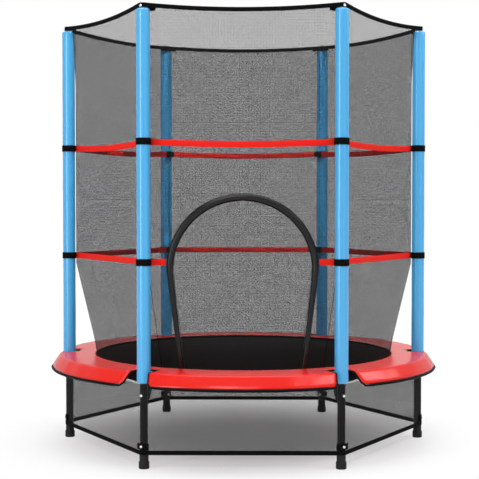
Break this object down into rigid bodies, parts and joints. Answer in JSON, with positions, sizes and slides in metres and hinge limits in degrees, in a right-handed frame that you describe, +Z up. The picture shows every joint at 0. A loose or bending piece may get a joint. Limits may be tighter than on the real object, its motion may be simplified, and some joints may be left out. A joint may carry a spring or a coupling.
{
  "type": "trampoline with enclosure",
  "caption": "Children's round trampoline on a tubular steel frame, with a padded spring cover, a six-sided safety net on foam-covered poles, a zipped door and a lower net.",
  "frame": {"origin": "floor level, at the centre of the six legs, which is the centre of the bounding box's bottom", "axes": "+Z up, -Y towards the side with the door, +X to the right when facing the door from outside"},
  "size_m": [1.4804, 1.4842, 1.6],
  "materials": {
    "black_steel": "satin",
    "pole_steel": "satin",
    "zinc_steel": "satin",
    "foot_rubber": "matte",
    "cap_plastic": "matte",
    "blue_foam": "satin",
    "red_vinyl": "gloss",
    "black_binding": "satin",
    "mat_fabric": "matte",
    "net": "matte",
    "black_webbing": "matte",
    "red_webbing": "satin",
    "arch_padding": "satin",
    "zip_tape": "matte",
    "zip_metal": "satin"
  },
  "bodies": {
    "frame": {"leg_1": "black_steel", "leg_2": "black_steel", "leg_3": "black_steel", "leg_4": "black_steel", "leg_5": "black_steel", "leg_6": "black_steel", "foot_cap_1": "foot_rubber", "foot_cap_2": "foot_rubber", "foot_cap_3": "foot_rubber", "foot_cap_4": "foot_rubber", "foot_cap_5": "foot_rubber", "foot_cap_6": "foot_rubber", "pole_1": "pole_steel", "pole_2": "pole_steel", "pole_3": "pole_steel", "pole_4": "pole_steel", "pole_5": "pole_steel", "pole_6": "pole_steel", "foam_sleeve_1": "blue_foam", "foam_sleeve_2": "blue_foam", "foam_sleeve_3": "blue_foam", "foam_sleeve_4": "blue_foam", "foam_sleeve_5": "blue_foam", "foam_sleeve_6": "blue_foam", "ring_segment_1": "black_steel", "ring_segment_2": "black_steel", "ring_segment_3": "black_steel", "ring_segment_4": "black_steel", "ring_segment_5": "black_steel", "ring_segment_6": "black_steel", "ring_bracket_1": "black_steel", "ring_bracket_2": "black_steel", "ring_bracket_3": "black_steel", "ring_bracket_4": "black_steel", "ring_bracket_5": "black_steel", "ring_bracket_6": "black_steel", "pole_caps": "cap_plastic", "bolts": "zinc_steel", "nuts": "zinc_steel", "springs": "zinc_steel", "pad": "red_vinyl", "pad_trim": "black_binding", "upper_net": "net", "lower_net": "net", "door_net": "net", "top_hem": "black_webbing", "foot_band": "black_webbing", "net_bands": "red_webbing", "pole_ties": "black_webbing", "door_arch": "arch_padding", "zip_chain": "zip_tape", "skirt_net": "net", "skirt_band": "black_webbing", "leg_straps": "black_webbing"},
    "jump_mat": {"mat": "mat_fabric", "mat_webbing": "black_webbing", "v_rings": "zinc_steel"},
    "door_flap": {"door_panel": "net"},
    "slider": {"zip_slider": "zip_metal"},
    "pull": {"zip_pull": "zip_metal"}
  },
  "joints": [
    {"name": "mat_bounce", "type": "slide", "parent": "frame", "child": "jump_mat", "axis": [0, 0, 1], "range_m": [-0.1, 0], "stiffness_N_per_m": 3000, "springref_m": 0.01, "deforming": ["springs"]},
    {"name": "door_fold", "type": "hinge", "parent": "frame", "child": "door_flap", "pos_m": [0, -0.5325, 0.3396], "axis": [-1, 0, 0], "range_deg": [0, 88]},
    {"name": "zip_slide", "type": "slide", "parent": "frame", "child": "slider", "axis": [0.1153, -0.1045, 0.9878], "range_m": [0, 0.29]},
    {"name": "zip_pull_swing", "type": "hinge", "parent": "slider", "child": "pull", "pos_m": [0.21819, -0.51471, 0.38572], "axis": [0.9933, 0.0061, -0.1153], "range_deg": [0, 80]}
  ]
}
